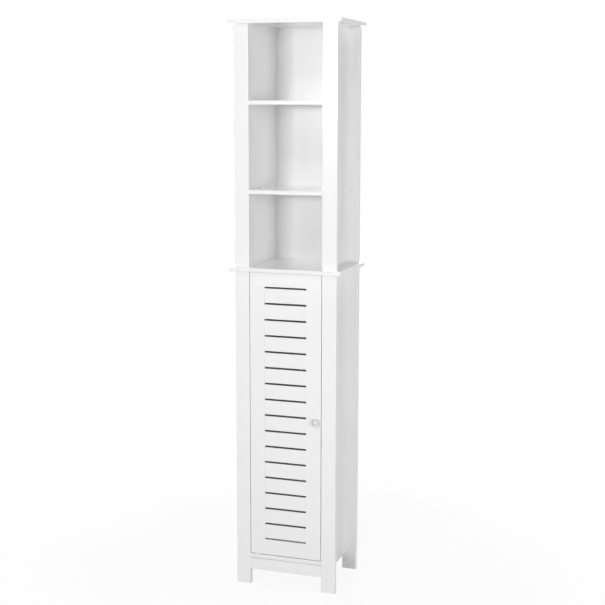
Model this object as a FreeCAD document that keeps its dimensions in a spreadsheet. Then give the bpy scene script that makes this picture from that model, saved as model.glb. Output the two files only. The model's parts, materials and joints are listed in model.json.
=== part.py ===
import FreeCAD, Part
import os

import Sketcher

# A white bathroom column cabinet: three open bays above, a slatted door below, four board legs.
# Millimetres. +Z is up, the front faces -Y, and the origin is under the middle of the whole cabinet.

doc = FreeCAD.newDocument("column_cabinet")

SLAT_COUNT = 16

# Driving dimensions
DIMENSIONS = [
    # Carcass boards
    ("body_width", "315"),
    ("carcass_depth", "235"),
    ("post_width", "44"),
    ("post_thickness", "16"),
    ("panel_thickness", "12"),
    ("board_thickness", "12"),
    ("back_thickness", "3"),
    ("board_overhang", "15"),
    ("edge_round", "1"),
    # Heights, from the floor up
    ("leg_gap", "48"),
    ("side_gap", "54"),
    ("apron_height", "37"),
    ("shadow_gap", "1.5"),
    ("shadow_depth", "5"),
    ("door_bay_height", "873"),
    ("low_bay_height", "217"),
    ("mid_bay_height", "247"),
    ("top_bay_height", "218"),
    # Door
    ("door_thickness", "16"),
    ("door_side_gap", "1.8"),
    ("door_end_gap", "2.5"),
    ("sweep_clearance", "0.3"),
    ("stile_width", "46"),
    ("top_rail_height", "41"),
    ("bottom_rail_height", "47.5"),
    ("slot_height", "5"),
    ("door_round", "0.8"),
    ("tongue_thickness", "6"),
    ("tongue_length", "8"),
    ("groove_clearance", "0.1"),
    # Knob and its screw
    ("knob_radius", "10.5"),
    ("knob_projection", "22"),
    ("knob_inset", "13"),
    ("knob_height", "430"),
    ("knob_foot_radius", "7"),
    ("knob_neck_radius", "5.5"),
    ("knob_neck_height", "6"),
    ("knob_back_round", "4"),
    ("knob_face_round", "9"),
    ("knob_screw_radius", "2"),
    ("knob_screw_grip", "10"),
    ("knob_screw_head_radius", "4"),
    ("knob_screw_head_height", "2.5"),
    # Pivot pins and bushes
    ("pivot_radius", "3"),
    ("pivot_anchor", "25"),
    ("pivot_reach", "9.5"),
    ("running_clearance", "0.05"),
    ("bush_wall", "2"),
    ("bush_depth", "8"),
    ("bush_floor", "1"),
    ("flange_width", "2"),
    ("flange_gap", "0.3"),
    # Dowels
    ("dowel_radius", "3"),
    ("dowel_length", "24"),
    ("dowel_board_depth", "8"),
    ("dowel_post_depth", "10"),
    ("fit_clearance", "0.05"),
    ("hole_end_gap", "0.5"),
    # Shelf screws and their caps
    ("shelf_screw_radius", "2"),
    ("shelf_screw_length", "38"),
    ("shelf_screw_head_radius", "4"),
    ("cap_radius", "6"),
    ("cap_thickness", "1.5"),
    # Small countersunk screws of the back panels and the fittings
    ("small_screw_radius", "1.5"),
    ("small_screw_length", "11"),
    ("small_screw_head_radius", "3"),
    ("recess_depth", "1"),
    # Inner shelves and their pins
    ("shelf_play", "2"),
    ("shelf_setback", "40"),
    ("shelf_back_gap", "2"),
    ("pin_radius", "2.5"),
    ("pin_depth", "8"),
    ("pin_collar_radius", "4"),
    ("pin_collar_thickness", "1.5"),
    ("pin_peg_length", "8"),
    ("pin_inset", "30"),
    ("pin_spacing", "32"),
    # Magnetic catch
    ("catch_width", "26"),
    ("catch_depth", "18"),
    ("catch_height", "20"),
    ("ear_length", "10"),
    ("ear_thickness", "3"),
    ("magnet_width", "20"),
    ("magnet_height", "6"),
    ("magnet_depth", "8"),
    ("magnet_rise", "7"),
    ("magnet_proud", "0.5"),
    ("strike_width", "30"),
    ("strike_height", "13"),
    ("strike_thickness", "1.5"),
    ("strike_gap", "0.3"),
    # Wall bracket
    ("bracket_width", "40"),
    ("bracket_foot", "22"),
    ("bracket_height", "16"),
    ("bracket_thickness", "2"),
    ("bracket_bend", "1.5"),
    ("wall_hole_radius", "2.75"),
]

# Sizes and places that follow from the driving dimensions
WORKED_OUT = [
    ("half_body", "=dims.body_width / 2"),
    ("inner_half", "=half_body - dims.post_width"),
    ("full_depth", "=dims.carcass_depth + dims.back_thickness"),
    ("front_y", "=(max(dims.knob_projection; dims.board_overhang) - full_depth) / 2"),
    ("rear_post_y", "=front_y + dims.carcass_depth - dims.post_thickness"),
    ("back_y", "=front_y + dims.carcass_depth"),
    ("panel_depth", "=dims.carcass_depth - 2 * dims.post_thickness"),
    ("bottom_z", "=dims.leg_gap + dims.apron_height"),
    ("bay_z", "=bottom_z + dims.board_thickness"),
    ("middle_z", "=bay_z + dims.door_bay_height"),
    ("low_bay_z", "=middle_z + dims.board_thickness"),
    ("low_shelf_z", "=low_bay_z + dims.low_bay_height"),
    ("mid_bay_z", "=low_shelf_z + dims.board_thickness"),
    ("high_shelf_z", "=mid_bay_z + dims.mid_bay_height"),
    ("top_bay_z", "=high_shelf_z + dims.board_thickness"),
    ("top_z", "=top_bay_z + dims.top_bay_height"),
    ("upper_height", "=top_z - low_bay_z"),
    ("lower_height", "=middle_z - dims.side_gap"),
    ("door_left", "=dims.door_side_gap - inner_half"),
    ("door_width", "=2 * (inner_half - dims.door_side_gap)"),
    ("door_right", "=door_left + door_width"),
    ("door_z", "=bay_z + dims.door_end_gap"),
    ("door_height", "=dims.door_bay_height - 2 * dims.door_end_gap"),
    ("door_top", "=door_z + door_height"),
    ("door_back_y", "=front_y + dims.door_thickness"),
    ("clear_width", "=door_width - 2 * dims.stile_width"),
    ("rails_height", "=dims.top_rail_height + dims.bottom_rail_height"),
    ("slats_height", f"=door_height - rails_height - {SLAT_COUNT + 1} * dims.slot_height"),
    ("slat_height", f"=slats_height / {SLAT_COUNT}"),
    ("slat_pitch", "=slat_height + dims.slot_height"),
    ("first_slat_z", "=door_z + dims.bottom_rail_height + dims.slot_height"),
    # The pivot stands so far in that the stile's corners turn clear of the post by the sweep clearance.
    ("sweep_room", "=dims.door_side_gap - dims.sweep_clearance"),
    ("half_thickness", "=dims.door_thickness / 2"),
    ("pivot_inset", "=(half_thickness * half_thickness - sweep_room * sweep_room) / (2 * sweep_room)"),
    ("pivot_x", "=door_left + pivot_inset"),
    ("pivot_y", "=front_y + half_thickness"),
    ("bush_radius", "=dims.pivot_radius + dims.running_clearance + dims.bush_wall"),
    ("knob_x", "=door_right - dims.knob_inset"),
    ("knob_z", "=door_z + dims.knob_height"),
    ("dowel_hole", "=dims.dowel_radius + dims.fit_clearance"),
    ("dowel_end_depth", "=dims.dowel_length - dims.dowel_board_depth"),
    ("dowel_panel_depth", "=dims.dowel_length - dims.dowel_post_depth"),
    ("long_dowel_length", "=dims.board_thickness + 2 * dowel_end_depth"),
    ("post_middle", "=half_body - dims.post_width / 2"),
    ("front_post_middle_y", "=front_y + dims.post_thickness / 2"),
    ("rear_post_middle_y", "=rear_post_y + dims.post_thickness / 2"),
    ("panel_middle", "=inner_half + dims.panel_thickness / 2"),
    ("panel_outside", "=inner_half + dims.panel_thickness"),
    ("shelf_screw_bite", "=dims.shelf_screw_length - dims.panel_thickness"),
    ("inner_shelf_width", "=2 * (inner_half - dims.shelf_play)"),
    ("inner_shelf_y", "=front_y + dims.shelf_setback"),
    ("inner_shelf_depth", "=back_y - dims.shelf_back_gap - inner_shelf_y"),
    ("pin_drop", "=dims.pin_radius + dims.fit_clearance"),
    ("front_pin_y", "=inner_shelf_y + dims.pin_inset"),
    ("rear_pin_y", "=inner_shelf_y + inner_shelf_depth - dims.pin_inset"),
    ("catch_x", "=door_right - dims.stile_width / 2"),
    ("magnet_y", "=door_back_y + dims.strike_thickness + dims.strike_gap"),
    ("catch_y", "=magnet_y + dims.magnet_proud"),
    ("catch_z", "=middle_z - dims.catch_height"),
    ("magnet_z", "=catch_z + dims.magnet_rise"),
    ("ear_reach", "=dims.catch_width / 2 + dims.ear_length / 2"),
    ("catch_screw_y", "=catch_y + dims.catch_depth / 2"),
    ("bracket_z", "=top_z + dims.board_thickness"),
    ("bracket_y", "=front_y + full_depth - dims.bracket_foot"),
    ("bracket_screw_reach", "=dims.bracket_width / 4"),
    ("bracket_screw_y", "=bracket_y + (dims.bracket_foot - dims.bracket_thickness) / 2"),
]

# Where things stand along the piece that carries them
PANEL_DOWEL_SHARES = (0.1, 0.5, 0.9)
SHELF_SCREW_SHARES = (0.25, 0.75)
APRON_DOWEL_SHARES = (0.3, 0.7)
UPPER_BACK_SCREW_SHARES = (0.08, 0.36, 0.64, 0.92)
LOWER_BACK_SCREW_SHARES = (0.06, 0.28, 0.5, 0.72, 0.94)
INNER_SHELF_SHARES = (0.34, 0.67)

# The cross recess of a screw and the flat top of a cap, as shares of the head and of the cap
RECESS_ARM_SHARE = 0.55
RECESS_HALF_SHARE = 0.15
CAP_TOP_SHARE = 0.6

# The countersunk heads are 90 degrees across.
HEAD_SLOPE = 45

TOWARDS = {
    "up": FreeCAD.Vector(0, 0, 1),
    "down": FreeCAD.Vector(0, 0, -1),
    "front": FreeCAD.Vector(0, -1, 0),
    "back": FreeCAD.Vector(0, 1, 0),
    "left": FreeCAD.Vector(-1, 0, 0),
    "right": FreeCAD.Vector(1, 0, 0),
}

# Each face of a board: the origin plane that it lies along, and whether a cut from it runs along the normal
FACES = {
    "bottom": ("XY_Plane", True),
    "top": ("XY_Plane", False),
    "front": ("XZ_Plane", False),
    "back": ("XZ_Plane", True),
    "left": ("YZ_Plane", True),
    "right": ("YZ_Plane", False),
}

pieces = {}


def make_sheet(name, rows):
    """A spreadsheet with one named value on each row."""
    new_sheet = doc.addObject("Spreadsheet::Sheet", name)
    for row, (alias, content) in enumerate(rows, start=1):
        new_sheet.set(f"A{row}", alias)
        new_sheet.set(f"B{row}", content)
        new_sheet.setAlias(f"B{row}", alias)
    doc.recompute()
    return new_sheet


sheet = make_sheet("dims", DIMENSIONS)
make_sheet("places", WORKED_OUT)


def number(expression):
    """What an expression on the sheets comes to."""
    return float(sheet.evalExpression(expression))


def new_body(label, corner=("0", "0", "0"), facing="up"):
    """An empty body at its place, its own +Z turned towards the given side."""
    body = doc.addObject("PartDesign::Body", label)
    body.Label = label
    turn = FreeCAD.Rotation(TOWARDS["up"], TOWARDS[facing])
    body.Placement = FreeCAD.Placement(FreeCAD.Vector(), turn)
    for axis, expression in zip("xyz", corner):
        body.setExpression(f"Placement.Base.{axis}", expression)
    return body


def sketch_on(body, role, away="0"):
    """An empty sketch on one of the body's origin planes, moved along the plane's normal."""
    plane = next(feature for feature in body.Origin.OriginFeatures if feature.Role == role)
    sketch = body.newObject("Sketcher::SketchObject", f"{body.Label}_sketch")
    sketch.AttachmentSupport = [(plane, "")]
    sketch.MapMode = "FlatFace"
    sketch.setExpression("AttachmentOffset.Base.z", away)
    return sketch


def tie(sketch, direction, geometry, point, expression):
    """Hold a point of the sketch at a distance from the sketch's origin."""
    rule = Sketcher.Constraint(direction, -1, 1, geometry, point, number(expression))
    row = sketch.addConstraint(rule)
    sketch.setExpression(f"Constraints[{row}]", expression)


def outline(sketch, points):
    """A closed outline of straight lines through the given points."""
    corners = [FreeCAD.Vector(number(across), number(along), 0) for across, along in points]
    for start, end in zip(corners, corners[1:] + corners[:1]):
        sketch.addGeometry(Part.LineSegment(start, end))
    for line in range(len(points)):
        sketch.addConstraint(Sketcher.Constraint("Coincident", line, 2, (line + 1) % len(points), 1))
    for line, (across, along) in enumerate(points):
        tie(sketch, "DistanceX", line, 1, across)
        tie(sketch, "DistanceY", line, 1, along)


def pad(body, sketch, length, against_normal=False):
    """Stand the sketch's outline up into a solid."""
    feature = body.newObject("PartDesign::Pad", f"{body.Label}_pad")
    feature.Profile = sketch
    feature.Reversed = against_normal
    feature.setExpression("Length", length)
    doc.recompute()


def cut(body, sketch, along_normal, depth=None, slope=0):
    """Cut the sketch's outline into the body, right through where no depth is given."""
    feature = body.newObject("PartDesign::Pocket", f"{body.Label}_cut")
    feature.Profile = sketch
    feature.Reversed = along_normal
    feature.TaperAngle = slope
    if depth is None:
        feature.Type = "ThroughAll"
    else:
        feature.setExpression("Length", depth)
    doc.recompute()


def drill(body, face, spots, radius, depth=None, away="0", slope=0):
    """Round holes in one face of the body, at spots measured from the body's own corner."""
    role, along_normal = FACES[face]
    sketch = sketch_on(body, role, away)
    size = number(radius)
    for across, along in spots:
        centre = FreeCAD.Vector(number(across), number(along), 0)
        circle = sketch.addGeometry(Part.Circle(centre, TOWARDS["up"], size))
        row = sketch.addConstraint(Sketcher.Constraint("Radius", circle, size))
        sketch.setExpression(f"Constraints[{row}]", radius)
        tie(sketch, "DistanceX", circle, 3, across)
        tie(sketch, "DistanceY", circle, 3, along)
    cut(body, sketch, along_normal, depth, slope)


def countersink(body, face, spots, screw, away="0"):
    """Clear holes for countersunk screws, with their seats in the given face."""
    drill(body, face, spots, f"dims.{screw}_radius + dims.fit_clearance", away=away)
    drill(body, face, spots, f"dims.{screw}_head_radius + dims.fit_clearance",
          f"dims.{screw}_head_radius - dims.{screw}_radius", away, -HEAD_SLOPE)


def ease(body, wanted, radius="dims.edge_round"):
    """Round the wanted edges of the body."""
    base = body.Tip
    names = [f"Edge{place}" for place, edge in enumerate(base.Shape.Edges, 1) if wanted(edge)]
    feature = body.newObject("PartDesign::Fillet", f"{body.Label}_eased")
    feature.Base = (base, names)
    feature.setExpression("Radius", radius)
    doc.recompute()


def lies_at(edge, axis, expression):
    """Whether the whole of an edge's ends lie at one place along an axis of the body."""
    return all(round(getattr(end, axis) - number(expression), 6) == 0 for end in edge.Vertexes)


def every_edge(edge):
    return True


def upright_edge(edge):
    return edge.BoundBox.ZLength > max(edge.BoundBox.XLength, edge.BoundBox.YLength)


def front_edge(edge):
    return lies_at(edge, "Y", "0")


def long_front_edge(edge):
    return front_edge(edge) and not upright_edge(edge)


def board(label, size, corner, eased=None):
    """A rectangular board with its own origin at its front lower left corner."""
    length, depth, height = size
    body = new_body(label, corner)
    plan = sketch_on(body, "XY_Plane")
    outline(plan, [("0", "0"), (length, "0"), (length, depth), ("0", depth)])
    pad(body, plan, height)
    if eased:
        ease(body, eased)
    pieces[label] = body
    return body


def turned(label, profile, corner=("0", "0", "0"), facing="up"):
    """A piece turned about its own Z axis from a profile of radii and heights."""
    body = new_body(label, corner, facing)
    sketch = sketch_on(body, "XZ_Plane")
    outline(sketch, profile)
    feature = body.newObject("PartDesign::Revolution", f"{label}_turned")
    feature.Profile = sketch
    feature.ReferenceAxis = (sketch, ["V_Axis"])
    doc.recompute()
    return body


def group(label, pattern, places):
    """Copies of one piece, each at its place with its +Z towards the given side."""
    copies = []
    for place, (x, y, z, facing) in enumerate(places, start=1):
        copy = doc.addObject("App::Link", f"{label}_{place}")
        copy.LinkedObject = pattern
        turn = FreeCAD.Rotation(TOWARDS["up"], TOWARDS[facing])
        copy.Placement = FreeCAD.Placement(FreeCAD.Vector(), turn)
        for axis, expression in zip("xyz", (x, y, z)):
            copy.setExpression(f"Placement.Base.{axis}", expression)
        copies.append(copy)
    whole = doc.addObject("Part::Compound", label)
    whole.Label = label
    whole.Links = copies
    doc.recompute()
    pieces[label] = whole


def share_of(size, shares, start="0"):
    """Expressions for places at the given shares of a size."""
    return [f"{start} + {size} * {share}" for share in shares]


# Places shared by the boards and by what holds them together
SIDES = {"left": "-1", "right": "1"}
LOWER_DOWELS = share_of("places.lower_height", PANEL_DOWEL_SHARES)
UPPER_DOWELS = share_of("places.upper_height", PANEL_DOWEL_SHARES)
LOWER_BACK_SCREWS = share_of("(places.middle_z - places.bottom_z)", LOWER_BACK_SCREW_SHARES)
UPPER_BACK_SCREWS = share_of("places.upper_height", UPPER_BACK_SCREW_SHARES)
SHELF_SCREWS = share_of("dims.carcass_depth", SHELF_SCREW_SHARES)
INNER_SHELVES = share_of("dims.door_bay_height", INNER_SHELF_SHARES, "places.bay_z")
POST_ROWS = ("places.front_post_middle_y", "places.rear_post_middle_y")


def make_overhanging_boards():
    """The top and middle boards, which stand out past the posts at the front and sides."""
    width = "dims.body_width + 2 * dims.board_overhang"
    depth = "places.full_depth + dims.board_overhang"
    left = "-places.half_body - dims.board_overhang"
    front = "places.front_y - dims.board_overhang"
    dowel_spots = [
        (f"places.half_body + dims.board_overhang + {side} * places.post_middle", f"{row} - ({front})")
        for side in SIDES.values() for row in POST_ROWS
    ]
    pivot_spot = [(f"places.pivot_x - ({left})", f"places.pivot_y - ({front})")]
    catch_spots = [
        (f"places.catch_x + {side} * places.ear_reach - ({left})", f"places.catch_screw_y - ({front})")
        for side in SIDES.values()
    ]
    bracket_spots = [
        (f"{side} * places.bracket_screw_reach - ({left})", f"places.bracket_screw_y - ({front})")
        for side in SIDES.values()
    ]
    screw_hole = "dims.small_screw_radius + dims.fit_clearance"
    size = (width, depth, "dims.board_thickness")

    top = board("top_board", size, (left, front, "places.top_z"), every_edge)
    drill(top, "bottom", dowel_spots, "places.dowel_hole", "dims.dowel_board_depth + dims.hole_end_gap")
    drill(top, "top", bracket_spots, screw_hole, screw_depth("dims.bracket_thickness"), "dims.board_thickness")

    middle = board("middle_board", size, (left, front, "places.middle_z"), every_edge)
    drill(middle, "bottom", dowel_spots, "places.dowel_hole")
    drill(middle, "bottom", pivot_spot, "places.bush_radius + dims.fit_clearance", bush_hole_depth())
    drill(middle, "bottom", catch_spots, screw_hole, screw_depth("dims.ear_thickness"))


def screw_depth(plate):
    """How deep a small screw's hole is behind the plate that the screw holds."""
    return f"dims.small_screw_length - {plate} + dims.hole_end_gap"


def bush_hole_depth():
    return "dims.bush_depth + dims.hole_end_gap"


def make_shelves():
    """The bottom board and the two open shelves, screwed between the side panels."""
    size = ("2 * places.inner_half", "dims.carcass_depth", "dims.board_thickness")
    levels = {
        "bottom_board": "places.bottom_z",
        "low_open_shelf": "places.low_shelf_z",
        "high_open_shelf": "places.high_shelf_z",
    }
    end_spots = [(spot, "dims.board_thickness / 2") for spot in SHELF_SCREWS]
    hole = "dims.shelf_screw_radius + dims.fit_clearance"
    depth = "places.shelf_screw_bite + dims.hole_end_gap"
    for label, level in levels.items():
        shelf = board(label, size, ("-places.inner_half", "places.front_y", level), long_front_edge)
        drill(shelf, "left", end_spots, hole, depth)
        drill(shelf, "right", end_spots, hole, depth, "2 * places.inner_half")
    pivot_spot = [("places.pivot_x + places.inner_half", "places.pivot_y - places.front_y")]
    drill(pieces["bottom_board"], "top", pivot_spot, "places.bush_radius + dims.fit_clearance",
          bush_hole_depth(), "dims.board_thickness")


def make_posts():
    """Four upper posts and four legs, all cut from the same board."""
    runs = {
        "upper_post": ("places.upper_height", "places.low_bay_z", UPPER_DOWELS, "0", UPPER_BACK_SCREWS, "0"),
        "leg": ("places.middle_z", "0", LOWER_DOWELS, "dims.side_gap", LOWER_BACK_SCREWS, "places.bottom_z"),
    }
    end_spot = [("dims.post_width / 2", "dims.post_thickness / 2")]
    end_depth = "places.dowel_end_depth + dims.hole_end_gap"
    panel_depth = "dims.dowel_post_depth + dims.hole_end_gap"
    for run, (height, level, dowels, dowel_start, screws, screw_start) in runs.items():
        for side in SIDES:
            left = "-places.half_body" if side == "left" else "places.inner_half"
            panel_across = "dims.panel_thickness / 2"
            if side == "left":
                panel_across = "dims.post_width - dims.panel_thickness / 2"
            dowel_spots = [(panel_across, f"{dowel_start} + {spot}") for spot in dowels]
            screw_spots = [("dims.post_width / 2", f"{screw_start} + {spot}") for spot in screws]
            size = ("dims.post_width", "dims.post_thickness", height)

            front = board(f"{run}_front_{side}", size, (left, "places.front_y", level), upright_edge)
            drill(front, "back", dowel_spots, "places.dowel_hole", panel_depth, "-dims.post_thickness")
            rear = board(f"{run}_rear_{side}", size, (left, "places.rear_post_y", level), upright_edge)
            drill(rear, "front", dowel_spots, "places.dowel_hole", panel_depth)
            drill(rear, "back", screw_spots, "dims.small_screw_radius + dims.fit_clearance",
                  screw_depth("dims.back_thickness"), "-dims.post_thickness")
            for post in (front, rear):
                drill(post, "top", end_spot, "places.dowel_hole", end_depth, height)
                if run == "upper_post":
                    drill(post, "bottom", end_spot, "places.dowel_hole", end_depth)


def make_apron():
    """The board under the bottom board, dowelled between the front legs, with a shadow gap along its top."""
    width = "2 * places.inner_half"
    size = (width, "dims.post_thickness", "dims.apron_height")
    corner = ("-places.inner_half", "places.front_y", "dims.leg_gap")
    apron = board("front_apron", size, corner, long_front_edge)
    rebate = sketch_on(apron, "XZ_Plane")
    foot = "dims.apron_height - dims.shadow_gap"
    outline(rebate, [("0", foot), (width, foot), (width, "dims.apron_height"), ("0", "dims.apron_height")])
    cut(apron, rebate, False, "dims.shadow_depth")
    levels = share_of("dims.apron_height", APRON_DOWEL_SHARES)
    depth = "dims.dowel_length / 2 + dims.hole_end_gap"
    end_spots = [("dims.post_thickness / 2", level) for level in levels]
    leg_spots = [("dims.post_thickness / 2", f"dims.leg_gap + {level}") for level in levels]
    drill(apron, "left", end_spots, "places.dowel_hole", depth)
    drill(apron, "right", end_spots, "places.dowel_hole", depth, width)
    drill(pieces["leg_front_left"], "right", leg_spots, "places.dowel_hole", depth, "dims.post_width")
    drill(pieces["leg_front_right"], "left", leg_spots, "places.dowel_hole", depth)


def make_side_panels():
    """Four panels between the posts, flush with the posts' inner edges."""
    runs = {
        "upper_side": ("places.upper_height", "places.low_bay_z", UPPER_DOWELS,
                       ("places.low_shelf_z", "places.high_shelf_z")),
        "lower_side": ("places.lower_height", "dims.side_gap", LOWER_DOWELS, ("places.bottom_z",)),
    }
    for run, (height, level, dowels, shelves) in runs.items():
        for side in SIDES:
            left = "-places.panel_outside" if side == "left" else "places.inner_half"
            inside = "right" if side == "left" else "left"
            size = ("dims.panel_thickness", "places.panel_depth", height)
            away = {"left": "0", "right": "dims.panel_thickness"}
            panel = board(f"{run}_{side}", size, (left, "places.front_y + dims.post_thickness", level))
            dowel_spots = [("dims.panel_thickness / 2", spot) for spot in dowels]
            depth = "places.dowel_panel_depth + dims.hole_end_gap"
            drill(panel, "front", dowel_spots, "places.dowel_hole", depth)
            drill(panel, "back", dowel_spots, "places.dowel_hole", depth, "-places.panel_depth")
            screw_spots = [
                (f"{spot} - dims.post_thickness", f"{shelf} + dims.board_thickness / 2 - {level}")
                for shelf in shelves for spot in SHELF_SCREWS
            ]
            countersink(panel, side, screw_spots, "shelf_screw", away[side])
            if run == "lower_side":
                drill(panel, inside, pin_hole_spots(), "dims.pin_radius + dims.fit_clearance",
                      "dims.pin_depth + dims.hole_end_gap", away[inside])


def pin_hole_spots():
    """Three pin holes, one above the other, at each corner of each inner shelf."""
    spots = []
    for shelf in INNER_SHELVES:
        for row in ("places.front_pin_y", "places.rear_pin_y"):
            for step in (-1, 0, 1):
                height = f"{shelf} - places.pin_drop + {step} * dims.pin_spacing - dims.side_gap"
                spots.append((f"{row} - places.front_y - dims.post_thickness", height))
    return spots


def make_back_panels():
    """Two thin panels, screwed to the backs of the rear posts."""
    runs = {
        "upper_back": ("places.low_bay_z", "places.upper_height", UPPER_BACK_SCREWS),
        "lower_back": ("places.bottom_z", "places.middle_z - places.bottom_z", LOWER_BACK_SCREWS),
    }
    for label, (level, height, screws) in runs.items():
        size = ("dims.body_width", "dims.back_thickness", height)
        panel = board(label, size, ("-places.half_body", "places.back_y", level))
        spots = [
            (f"places.half_body + {side} * places.post_middle", spot)
            for side in SIDES.values() for spot in screws
        ]
        countersink(panel, "back", spots, "small_screw", "-dims.back_thickness")


def make_inner_shelves():
    """Two loose shelves behind the door, each on four pins."""
    size = ("places.inner_shelf_width", "places.inner_shelf_depth", "dims.board_thickness")
    pin_places = []
    for label, level in zip(("low_inner_shelf", "high_inner_shelf"), INNER_SHELVES):
        board(label, size, ("-places.inner_shelf_width / 2", "places.inner_shelf_y", level), long_front_edge)
        for row in ("places.front_pin_y", "places.rear_pin_y"):
            pin_places.append(("-places.inner_half", row, f"{level} - places.pin_drop", "right"))
            pin_places.append(("places.inner_half", row, f"{level} - places.pin_drop", "left"))
    peg_end = "dims.pin_collar_thickness + dims.pin_peg_length"
    pin = turned("shelf_pin", [
        ("0", "-dims.pin_depth"),
        ("dims.pin_radius", "-dims.pin_depth"),
        ("dims.pin_radius", "0"),
        ("dims.pin_collar_radius", "0"),
        ("dims.pin_collar_radius", "dims.pin_collar_thickness"),
        ("dims.pin_radius", "dims.pin_collar_thickness"),
        ("dims.pin_radius", peg_end),
        ("0", peg_end),
    ])
    group("shelf_pins", pin, pin_places)


def make_stiles():
    """The door's two upright members, each with a groove along its inner edge."""
    width = "dims.stile_width"
    thickness = "dims.door_thickness"
    near = "(dims.door_thickness - dims.tongue_thickness) / 2 - dims.groove_clearance"
    far = "(dims.door_thickness + dims.tongue_thickness) / 2 + dims.groove_clearance"
    groove = "dims.tongue_length + dims.groove_clearance"
    right_groove = [
        ("0", "0"), (width, "0"), (width, near), (f"{width} - ({groove})", near),
        (f"{width} - ({groove})", far), (width, far), (width, thickness), ("0", thickness),
    ]
    left_groove = [
        ("0", "0"), (width, "0"), (width, thickness), ("0", thickness),
        ("0", far), (groove, far), (groove, near), ("0", near),
    ]
    stiles = {
        "door_hinge_stile": ("places.door_left", right_groove, width),
        "door_knob_stile": (f"places.door_right - {width}", left_groove, "0"),
    }
    for label, (left, plan, rail_side) in stiles.items():
        stile = new_body(label, (left, "places.front_y", "places.door_z"))
        sketch = sketch_on(stile, "XY_Plane")
        outline(sketch, plan)
        pad(stile, sketch, "places.door_height")
        ease(stile, lambda edge: front_edge(edge) and not lies_at(edge, "X", rail_side), "dims.door_round")
        pieces[label] = stile

    pivot_spot = [("places.pivot_inset", "places.half_thickness")]
    pivot_hole = "dims.pivot_radius + dims.fit_clearance"
    pivot_depth = "dims.pivot_anchor + dims.hole_end_gap"
    drill(pieces["door_hinge_stile"], "bottom", pivot_spot, pivot_hole, pivot_depth)
    drill(pieces["door_hinge_stile"], "top", pivot_spot, pivot_hole, pivot_depth, "places.door_height")

    knob_spot = [(f"{width} - dims.knob_inset", "dims.knob_height")]
    drill(pieces["door_knob_stile"], "front", knob_spot, "dims.knob_screw_radius + dims.fit_clearance")
    strike_spot = [(f"{width} / 2", "places.magnet_z - places.door_z")]
    drill(pieces["door_knob_stile"], "back", strike_spot, "dims.small_screw_radius + dims.fit_clearance",
          screw_depth("dims.strike_thickness"), f"-{thickness}")


def cross_piece(label, level, height, eased):
    """A rail or a slat: a board between the stiles with a tongue at each end."""
    near = "(dims.door_thickness - dims.tongue_thickness) / 2"
    far = "(dims.door_thickness + dims.tongue_thickness) / 2"
    back = "dims.door_thickness"
    left = "dims.tongue_length"
    right = "dims.tongue_length + places.clear_width"
    end = "2 * dims.tongue_length + places.clear_width"
    corner = ("places.door_left + dims.stile_width - dims.tongue_length", "places.front_y", level)
    body = new_body(label, corner)
    plan = sketch_on(body, "XY_Plane")
    outline(plan, [
        (left, "0"), (right, "0"), (right, near), (end, near), (end, far), (right, far),
        (right, back), (left, back), (left, far), ("0", far), ("0", near), (left, near),
    ])
    pad(body, plan, height)
    ease(body, eased, "dims.door_round")
    pieces[label] = body


def make_rails_and_slats():
    """The door's two rails, flush with the stiles, and the slats with a gap above and below each."""
    cross_piece("door_bottom_rail", "places.door_z", "dims.bottom_rail_height",
                lambda edge: front_edge(edge) and lies_at(edge, "Z", "0"))
    cross_piece("door_top_rail", "places.door_top - dims.top_rail_height", "dims.top_rail_height",
                lambda edge: front_edge(edge) and lies_at(edge, "Z", "dims.top_rail_height"))
    for place in range(SLAT_COUNT):
        level = f"places.first_slat_z + {place} * places.slat_pitch"
        cross_piece(f"door_slat_{place + 1:02d}", level, "places.slat_height", front_edge)


def make_knob():
    """A small round knob with a domed head on a tapered neck, held by a screw from behind the door."""
    hole = "dims.knob_screw_radius + dims.fit_clearance"
    hole_depth = "dims.knob_screw_grip + dims.hole_end_gap"
    knob = turned("door_knob", [
        (hole, "0"),
        ("dims.knob_foot_radius", "0"),
        ("dims.knob_neck_radius", "dims.knob_neck_height"),
        ("dims.knob_radius", "dims.knob_neck_height"),
        ("dims.knob_radius", "dims.knob_projection"),
        ("0", "dims.knob_projection"),
        ("0", hole_depth),
        (hole, hole_depth),
    ], ("places.knob_x", "places.front_y", "places.knob_z"), "front")
    ease(knob, lambda edge: lies_at(edge, "Z", "dims.knob_projection"), "dims.knob_face_round")
    back_rim = ("dims.knob_radius", "dims.knob_neck_height")
    ease(knob, lambda edge: lies_at(edge, "X", back_rim[0]) and lies_at(edge, "Z", back_rim[1]),
         "dims.knob_back_round")
    pieces["door_knob"] = knob

    shank_end = "-(dims.door_thickness + dims.knob_screw_grip)"
    screw = turned("knob_screw", [
        ("0", shank_end),
        ("dims.knob_screw_radius", shank_end),
        ("dims.knob_screw_radius", "0"),
        ("dims.knob_screw_head_radius", "0"),
        ("dims.knob_screw_head_radius", "dims.knob_screw_head_height"),
        ("0", "dims.knob_screw_head_height"),
    ], ("places.knob_x", "places.door_back_y", "places.knob_z"), "back")
    cross_recess(screw, "dims.knob_screw_head_radius", "dims.knob_screw_head_height")
    pieces["knob_screw"] = screw


def cross_recess(screw, head_radius, away="0"):
    """A cross-shaped recess in the face of a screw's head."""
    arm = f"{head_radius} * {RECESS_ARM_SHARE}"
    half = f"{head_radius} * {RECESS_HALF_SHARE}"
    sketch = sketch_on(screw, "XY_Plane", away)
    outline(sketch, [
        (half, half), (arm, half), (arm, f"-{half}"), (half, f"-{half}"),
        (half, f"-{arm}"), (f"-{half}", f"-{arm}"), (f"-{half}", f"-{half}"), (f"-{arm}", f"-{half}"),
        (f"-{arm}", half), (f"-{half}", half), (f"-{half}", arm), (half, arm),
    ])
    cut(screw, sketch, False, "dims.recess_depth")


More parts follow.
